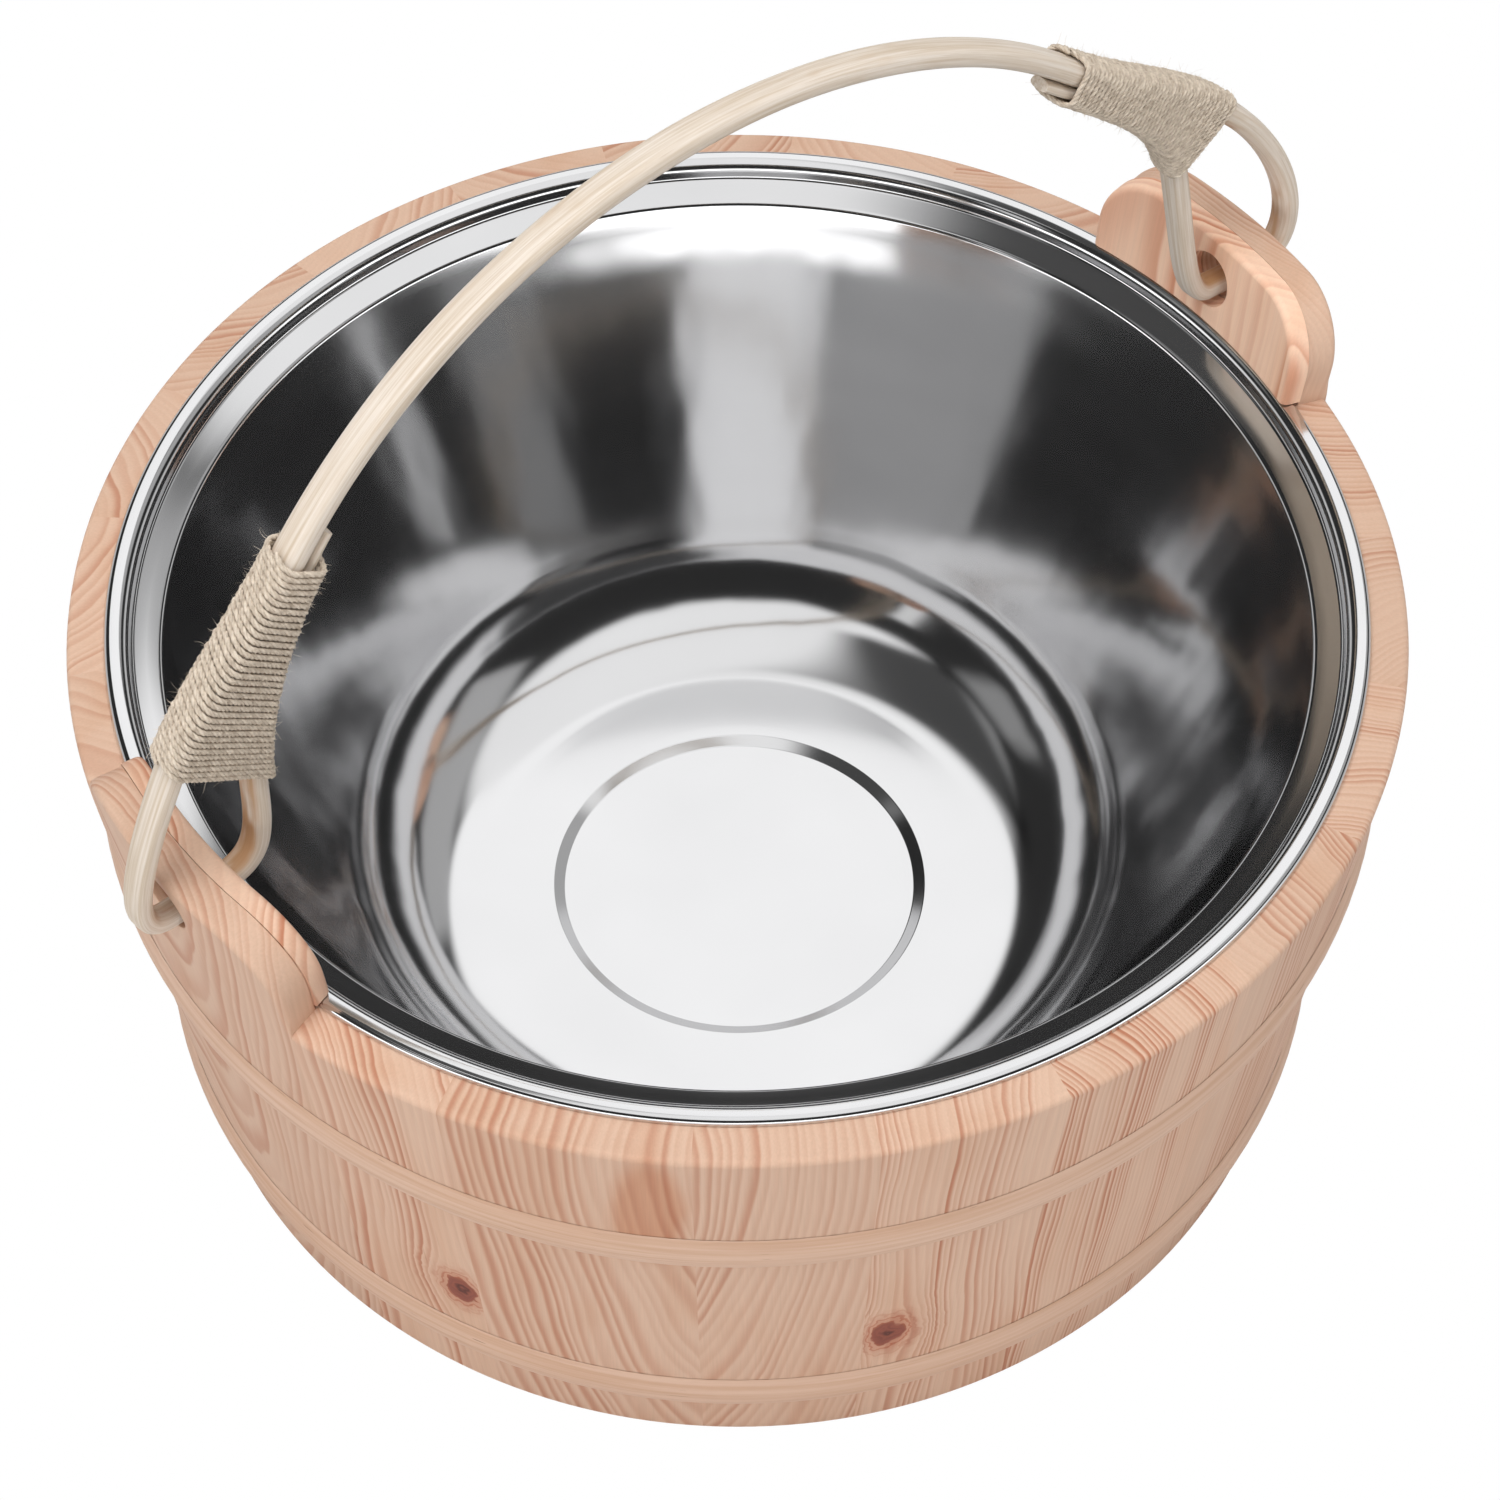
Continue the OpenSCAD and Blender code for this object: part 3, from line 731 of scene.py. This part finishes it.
def bail_place(x, across, h):
    """From the bail's own plane to the part's frame, in millimetres."""
    return np.stack([x, across * math.cos(LEAN) + h * math.sin(LEAN),
                     HINGE_Z - across * math.sin(LEAN) + h * math.cos(LEAN)], -1)


def side_stations(side):
    """The stations of one loop; the left one is mirrored and runs the other way."""
    found = [station(MARKS[side], i, k / n)
             for i, n in enumerate(LOOP_STEPS) for k in range(1, n + 1)]
    if side == "right":
        return found
    return [(p * (-1, 1), u * (1, -1), w, t, y) for p, u, w, t, y in found][::-1]


stations = side_stations("left")
left, right = MARKS["left"][0], MARKS["right"][0]
for x in np.linspace(-left[0], right[0], ARCH_STEPS):
    near = left if x < 0 else right
    far, a = abs(x) / near[0], math.radians(arch_heading(x))
    stations.append((arch_point(x), np.array([math.cos(a), math.sin(a)]),
                     CANE_W + (near[5] - CANE_W) * far, CANE_T + (near[6] - CANE_T) * far, 0))
stations += side_stations("right")
print("stations:", len(stations))

# %% [markdown]
# The strip's section is a rounded oblong with flat facets, as split cane has. Grain that is
# read from the place in the room would cut across the bends. So each vertex keeps its place
# on the straightened strip as an attribute, and the shader reads that: its fibres follow
# every turn, and brown patches show only inside the side loops, where the cane was bent.

# %% The strip's points
SIDES = 28


def oblong(a, n):
    """A point of a rounded oblong with half sizes of 1; n sets how square it is."""
    c, s = np.cos(a), np.sin(a)
    return np.sign(c) * np.abs(c) ** (2 / n), np.sign(s) * np.abs(s) ** (2 / n)


turn = np.linspace(0, 2 * math.pi, SIDES, endpoint=False) + 0.05
facet = 1 - 0.035 * (np.cos(turn * 3 + 0.8) > 0.55)
ox, oy = (o * facet for o in oblong(turn, 2.7))
points, strip, length, last = [], [], 0.0, None
for p, u, w, t, sway in stations:
    length += 0 if last is None else float(np.linalg.norm(p - last))
    last = p
    uneven = 0.98 + 0.01 * math.sin(length / 9.0) + 0.01 * math.sin(length / 23.0 + 1)
    xh = p + np.outer(ox * t / 2 * uneven, np.array([-u[1], u[0]]))
    points.append(bail_place(xh[:, 0], oy * w / 2 * uneven - sway, xh[:, 1]))
    strip += [(a * t / 2, b * w / 2, length) for a, b in zip(ox, oy)]
points = np.concatenate(points)
print("strip:", round(length), "mm long")

# %% The rattan shader
rattan, shader = material("rattan", Roughness=0.5, Specular_IOR_Level=0.35)
along = Wire(rattan.node_tree).node("Attribute", out="Vector", attribute_name="strip")
x, y, z = along.xyz()
streak = x.point(x * 1.5, y * 1.5, z / 34).noise(3.0, 0.65)
thread = x.point(x * 4, y * 4 + 7, z / 12).noise(2.0, 0.6)
stain = x.point(x / 5, y / 5, z / 16 + 3).noise(2.0)
reach = object_point(rattan).xyz()[0].math("ABSOLUTE")
loops = reach.rise(0.108, 0.122) * (1 - x.rise(-2.2, -0.8))
colour = streak.rise(0.3, 0.72).blend(linear(231, 220, 208), linear(208, 190, 168))
colour = (thread.rise(0.6, 0.78) * 0.5).blend(colour, linear(186, 160, 128))
colour = (stain.rise(0.6, 0.85) * 0.45).blend(colour, linear(196, 164, 124))
colour = (loops * stain.rise(0.36, 0.6) * 0.8).blend(colour, linear(186, 136, 84))
feed(colour, shader, "Base Color")
bumpy(streak * 0.6 + thread * 0.4, shader, 0.16)
print("rattan nodes:", len(rattan.node_tree.nodes))

# %% The strip's mesh
count = len(stations)
caps = [tuple(range(SIDES))[::-1], tuple((count - 1) * SIDES + k for k in range(SIDES))]
faces = [f[::-1] for f in skin(count, SIDES)] + caps
cane = piece("rattan_strip", points, faces, "bail", rattan, sharp=60)
kept = cane.data.attributes.new("strip", "FLOAT_VECTOR", "POINT")
kept.data.foreach_set("vector", np.array(strip, np.float32).ravel())
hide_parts("handle")
print("rattan strip:", len(cane.data.polygons), "faces")

# %% [markdown]
# ## Windings
# A tapering winding of thin twine holds each tip of the strip to the arch. A ribbed sleeve
# would look moulded up close, because real twine is three plies that turn round each other
# and shed fibres. So each winding is one long twine: a helix round both legs of the strip,
# three plies round that helix, and short bent hairs that stand out of it.

# %% The helix round the strip's two legs
TIP_PAST, LAG = 5.0, math.tan(math.radians(24))
BED, OUTSIDE = BIND_FIT + 0.62, BIND_FIT + 2.0
TWINE_STEP = 0.6


def winding_point(side, t, angle, out):
    """A point of the winding, at t from its upper end to its lower one."""
    marks = MARKS[side]
    reach = np.linalg.norm(np.array(marks[5][:2]) - marks[4][:2])
    length = np.linalg.norm(np.array(marks[1][:2]) - marks[0][:2])
    ox, oy = oblong(angle, 3.0)
    t = t - marks[0][5] / 2 * LAG / length * oy
    p, u, w, thick, sway = station(marks, 0, t)
    q, v, w2, thick2, sway2 = station(marks, 4, (1 - TIP_PAST / reach) * (1 - t))
    a = p + np.array([-u[1], u[0]]) * thick / 2
    b = q + np.array([-v[1], v[0]]) * thick2 / 2
    end = math.copysign(1, ox)
    bend = out + (thick if end > 0 else thick2) / 2
    middle, gap = (a + b) / 2, np.linalg.norm(a - b)
    xh = middle + unit(a - b) * (end * (gap / 2 + out - bend) + ox * bend)
    across = (max(w, w2) / 2 + out) * oy - (sway + sway2) / 2 - (sway - sway2) / 2 * end
    flip = -1 if side == "left" else 1
    return bail_place(flip * xh[0], across, xh[1])


def helix(side, turns):
    """Even steps along the twine, with its middle and its outward direction at each."""
    t = np.linspace(0, 1, turns * 160)
    sense = 1 if side == "right" else -1
    path, outer = (np.array([winding_point(side, v, sense * 2 * math.pi * turns * v, out)
                             for v in t]) for out in (BED, OUTSIDE))
    run = np.concatenate([[0], np.cumsum(np.linalg.norm(np.diff(path, axis=0), axis=1))])
    grid = np.arange(0, run[-1], TWINE_STEP)
    centre = np.stack([np.interp(grid, run, path[:, k]) for k in range(3)], 1)
    normal = unit(np.stack([np.interp(grid, run, (outer - path)[:, k]) for k in range(3)], 1))
    jitter = rng.standard_normal(len(grid) // 12 + 2).repeat(12)[:len(grid)]
    slack = 0.06 * np.sin(grid / 17.0) + 0.05 * jitter
    return grid, centre + normal * slack[:, None], normal


# %% Plies and loose fibres
PLIES, PLY_SIDES, PLY_R, PLY_ORBIT, TWIST = 3, 6, 0.36, 0.3, 4.2
HAIRS, HAIR_HALF, HAIR_STEPS = 2600, 0.035, 3


def tube(centres, normals, sides, radius):
    """Rings round a line of points."""
    ahead = unit(np.gradient(centres, axis=0))
    n = unit(normals - (normals * ahead).sum(1, keepdims=True) * ahead)
    b = np.cross(ahead, n)
    a = np.linspace(0, 2 * math.pi, sides, endpoint=False)
    ring = n[:, None] * np.cos(a)[None, :, None] + b[:, None] * np.sin(a)[None, :, None]
    return (centres[:, None] + radius * ring).reshape(-1, 3)


def twisted(grid, centre, normal):
    """Points, faces and tones of the plies, which turn round each other."""
    binormal = np.cross(unit(np.gradient(centre, axis=0)), normal)
    points, faces, tones = [], [], []
    for k in range(PLIES):
        a = 2 * math.pi * (grid / TWIST + k / PLIES)
        line = centre + PLY_ORBIT * (np.cos(a)[:, None] * normal + np.sin(a)[:, None] * binormal)
        faces += skin(len(grid), PLY_SIDES, first=len(points) * len(grid) * PLY_SIDES)
        points.append(tube(line, normal, PLY_SIDES, PLY_R))
        tone = 0.35 + 0.3 * ((k * 0.37) % 1) + 0.25 * rng.random(len(grid))
        tones.append(np.repeat(tone, PLY_SIDES))
    return np.concatenate(points), faces, tones


def loose_fibres(centre, normal, first):
    """Points and faces of short bent hairs that stand out of the twine."""
    pick = rng.integers(0, len(centre), HAIRS)
    root = centre[pick] + normal[pick] * 0.5
    lean = unit(normal[pick] * rng.uniform(0.2, 1.0, (HAIRS, 1))
                + rng.normal(0, 0.75, (HAIRS, 3)))
    bend = rng.normal(0, 0.5, (HAIRS, 3))
    size = rng.gamma(2.2, 0.38, (HAIRS, 1)).clip(0.2, 2.4)
    aside = unit(np.cross(lean, rng.normal(0, 1, (HAIRS, 3)))) * HAIR_HALF
    rows = []
    for k in range(HAIR_STEPS + 1):
        g = k / HAIR_STEPS
        middle = root + size * (lean * g + bend * g * g * 0.5)
        rows += [middle - aside * (1 - 0.6 * g), middle + aside * (1 - 0.6 * g)]
    faces = []
    for i in range(HAIRS):
        for k in range(HAIR_STEPS):
            a = first + len(rows) * i + 2 * k
            faces.append((a, a + 1, a + 3, a + 2))
    return np.stack(rows, 1).reshape(-1, 3), faces


print("loose fibres on each winding:", HAIRS)

# %% [markdown]
# Twine scatters light among its fibres, so it is matt and never one flat colour. Noise in
# space alone would run across the plies. So the mesh keeps a tone for each short stretch of
# ply, as an attribute, and fine noise only breaks it up.

# %% The twine shader
twine, shader = material("twine", Roughness=0.85, Specular_IOR_Level=0.15)
tone = Wire(twine.node_tree).node("Attribute", out="Fac", attribute_name="ply")
place = object_point(twine)
grain = place.node("Mapping", {"Vector": place, "Scale": (900,) * 3}).noise(3.0, 0.7)
shade = (tone * 0.6 + grain * 0.7 - 0.15).rise(0.1, 0.9)
feed(shade.blend(linear(160, 143, 125), linear(230, 217, 200)), shader, "Base Color")
print("twine nodes:", len(twine.node_tree.nodes))

# %% Wind both sides
HAIR_TONE = 0.9
for side, marks in (("left", MARKS["left"]), ("right", MARKS["right"])):
    turns = round(np.linalg.norm(np.array(marks[1][:2]) - marks[0][:2]) / TWINE_D)
    grid, centre, normal = helix(side, turns)
    verts, faces, tones = twisted(grid, centre, normal)
    hair, hair_faces = loose_fibres(centre, normal, len(verts))
    made = piece(f"{side}_winding", np.concatenate([verts, hair]), faces + hair_faces, "bail",
                 twine, sharp=180)
    tones = np.concatenate(tones + [np.full(len(hair), HAIR_TONE)])
    kept = made.data.attributes.new("ply", "FLOAT", "POINT")
    kept.data.foreach_set("value", tones.astype(np.float32))
    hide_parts(f"{side}_binding")
    print(side, "winding:", turns, "turns,", round(grid[-1]), "mm of twine")

# %% [markdown]
# ## Studio
# The bucket stands on a white sweep that runs out of the picture. A grey floor under bright
# lamps could be pushed to white, but then the wood would be lit too strongly. So the floor
# glows white for the camera alone, and for every other ray it is a pale matt floor that
# throws soft light back at the wall. That also hides the shadow, and the photograph shows
# none.

# %% Floor
FLOOR_HALF, FLOOR_DROP, FLOOR_GREY = 6, 0.0005, 0.8
floor_material, shader = material("floor", Roughness=0.9,
                                  Base_Color=(FLOOR_GREY, FLOOR_GREY, FLOOR_GREY, 1))
start = Wire(floor_material.node_tree)
light = start.node("LightPath", out="Is Camera Ray")
glow = start.node("Emission", {"Color": (1, 1, 1, 1), "Strength": 1.0})
matt = Wire(floor_material.node_tree, shader.outputs[0])
mix = start.node("MixShader", {0: light, 1: matt, 2: glow})
feed(mix, floor_material.node_tree.nodes["Material Output"], "Surface")
corners = [(FLOOR_HALF * a, FLOOR_HALF * b, 0) for a, b in ((-1, -1), (1, -1), (1, 1), (-1, 1))]
data = bpy.data.meshes.new("floor")
data.from_pydata(corners, [], [(0, 1, 2, 3)])
data.materials.append(floor_material)
floor = bpy.data.objects.new("floor", data)
floor.location.z = -FLOOR_DROP
bpy.context.scene.collection.objects.link(floor)
print("floor:", 2 * FLOOR_HALF, "m wide")

# %% [markdown]
# Steel looks like what stands round it, so its light and dark bands are a picture of the
# studio. Real panels would also have to be hidden from the camera and kept off the wood.
# Patches painted on the world do the same with less: each is a soft-edged rectangle at an
# angle and a height, with dark gaps between them, and one of them takes light away. The
# camera alone sees plain white behind the bucket.

# %% Soft patches of sky
world = bpy.data.worlds.new("studio")
bpy.context.scene.world = world
world.use_nodes = True
start = Wire(world.node_tree)
x, y, z = start.node("TexCoord", out="Generated").xyz()


def softbox(azimuth, elevation, wide, tall, edge, power):
    """Light from a soft-edged patch of the sky, wide and tall in degrees."""
    a, e = math.radians(azimuth), math.radians(elevation)
    ahead = (math.cos(a) * math.cos(e), math.sin(a) * math.cos(e), math.sin(e))
    aside = (-math.sin(a), math.cos(a), 0)
    up = (-math.cos(a) * math.sin(e), -math.sin(a) * math.sin(e), math.cos(e))
    f, s, u = (x * v[0] + y * v[1] + z * v[2] for v in (ahead, aside, up))
    flat = f.math("MAXIMUM", 0.001)
    sw, uw = math.tan(math.radians(wide / 2)), math.tan(math.radians(tall / 2))
    s, u = (s / flat).math("ABSOLUTE"), (u / flat).math("ABSOLUTE")
    inside = (1 - s.rise(sw - edge, sw + edge)) * (1 - u.rise(uw - edge, uw + edge))
    return inside * f.math("GREATER_THAN", 0.0) * power


# %% World
ceiling = z.rise(0.77, 0.84) * 1.05
key = softbox(46, 46, 33, 30, 0.05, 1.2)
grey = softbox(-14, 44, 58, 20, 0.05, 0.47)
side = softbox(138, 42, 22, 16, 0.08, 0.3)
glint = softbox(-178, 34, 7, 16, 0.04, 0.8)
floor_light = (1 - z.rise(0.2, 0.3)) * ((x * -0.61 + y * -0.79).rise(-0.25, 0.5) * 1.5 + 0.6)
sky = floor_light + 0.03
for panel in (ceiling, key, grey, side, glint):
    sky = sky.math("MAXIMUM", panel)
dark_gap = softbox(121, 66, 46, 25, 0.08, 0.93)
sky = sky * (1 - dark_gap)
seen = start.node("LightPath", out="Is Camera Ray")
studio = start.node("Background", {"Color": (1, 1, 1, 1), "Strength": sky})
white = start.node("Background", {"Color": (1, 1, 1, 1), "Strength": 1.0})
mix = start.node("MixShader", {0: seen, 1: studio, 2: white})
feed(mix, world.node_tree.nodes["World Output"], "Surface")
print("world nodes:", len(world.node_tree.nodes))

# %% [markdown]
# The world alone leaves the wood flat. Two large soft lamps brighten it from above and from
# the left, as the shading of the staves shows. The steel does not show them, because its
# bands already come from the world.

# %% Soft lamps
LAMP_AWAY, LAMP_SIZE = 1.6, 1.3
for name, azimuth, elevation, power in (("high", -140, 84, 11.2), ("left", 180, 56, 6.2)):
    lamp = bpy.data.objects.new(name, bpy.data.lights.new(name, "AREA"))
    lamp.data.shape, lamp.data.size, lamp.data.energy = "DISK", LAMP_SIZE, power
    a, e = math.radians(azimuth), math.radians(elevation)
    away = Vector((math.cos(a) * math.cos(e), math.sin(a) * math.cos(e), math.sin(e)))
    aim = away.to_track_quat("Z", "Y").to_matrix().to_4x4()
    lamp.matrix_world = Matrix.Translation(away * LAMP_AWAY) @ aim
    lamp.visible_glossy = False
    bpy.context.scene.collection.objects.link(lamp)
    print("lamp", name, power, "W")

# %% [markdown]
# ## Camera
# The camera stands where the photographer's stood. It could be moved by eye until the rim
# fits, but a small error would bend every later measure. So its place was solved from the
# rim, the hoops and the base, and only the result is kept here.

# %% Camera and view
camera = bpy.data.objects.new("camera", bpy.data.cameras.new("camera"))
bpy.context.scene.collection.objects.link(camera)
camera.data.lens, camera.data.sensor_width = 108.0, 36.0
camera.data.clip_start = 0.01
ROLL = -0.00297
ahead, eye = Vector((0.38008, 0.48794, -0.78578)), Vector((-0.37046, -0.47967, 0.84584))
aim = ahead.to_track_quat("-Z", "Y").to_matrix().to_4x4()
camera.matrix_world = Matrix.Translation(eye) @ aim @ Matrix.Rotation(ROLL, 4, "Z")
scene = bpy.context.scene
scene.camera = camera
scene.view_settings.view_transform = "Standard"
print("camera at", [round(v, 3) for v in eye])
